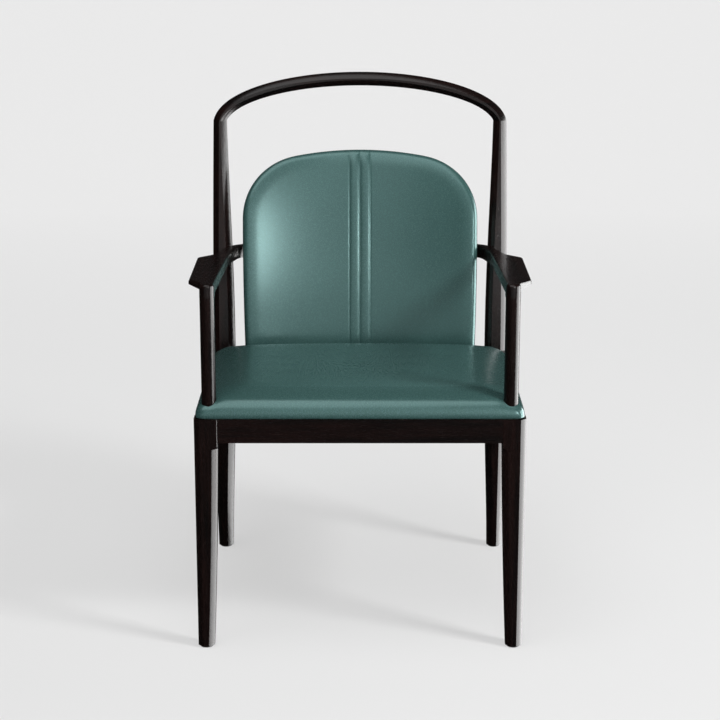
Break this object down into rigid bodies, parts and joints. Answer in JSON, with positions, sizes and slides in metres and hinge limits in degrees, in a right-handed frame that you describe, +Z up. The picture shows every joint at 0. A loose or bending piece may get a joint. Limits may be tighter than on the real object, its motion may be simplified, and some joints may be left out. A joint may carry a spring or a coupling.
{
  "type": "armchair",
  "caption": "Armchair with a dark wood frame, horseshoe arms with flared flat armrests, an arched top rail, a domed teal leather seat and a curved ribbed leather back panel.",
  "frame": {"origin": "on the floor, under the middle of the chair's outer box", "axes": "+Z up, +X to the right and +Y to the back as seen by someone who looks at the chair's front; the sitter faces -Y"},
  "size_m": [0.598, 0.627, 0.9349],
  "materials": {
    "dark_wood": "satin, dark stained",
    "plain_wood": "planed, unfinished",
    "plywood": "sanded, unfinished",
    "teal_leather": "smooth semi-gloss",
    "foam": "open cell foam",
    "black_cloth": "non-woven cloth",
    "black_nylon": "matt",
    "steel": "zinc plated"
  },
  "bodies": {
    "root": {"arm_bolt_plugs": "dark_wood", "arm_bolts": "steel", "arm_dowels": "plain_wood", "arm_left": "dark_wood", "arm_right": "dark_wood", "back_board": "plywood", "back_cover_front": "teal_leather", "back_cover_rear": "teal_leather", "back_dowels": "plain_wood", "back_foam": "foam", "back_rail": "dark_wood", "back_screws": "steel", "back_spacers": "plain_wood", "corner_block_front_left": "dark_wood", "corner_block_front_right": "dark_wood", "corner_block_rear_left": "dark_wood", "corner_block_rear_right": "dark_wood", "corner_block_screws": "steel", "foot_glide_front_left": "black_nylon", "foot_glide_front_right": "black_nylon", "foot_glide_rear_left": "black_nylon", "foot_glide_rear_right": "black_nylon", "front_leg_left": "dark_wood", "front_leg_right": "dark_wood", "front_rail": "dark_wood", "rear_leg_left": "dark_wood", "rear_leg_right": "dark_wood", "rear_rail": "dark_wood", "seat_board": "plywood", "seat_cover": "teal_leather", "seat_dust_cover": "black_cloth", "seat_foam": "foam", "seat_screws": "steel", "side_rail_left": "dark_wood", "side_rail_right": "dark_wood", "top_rail": "dark_wood", "top_rail_dowels": "plain_wood"}
  },
  "joints": []
}
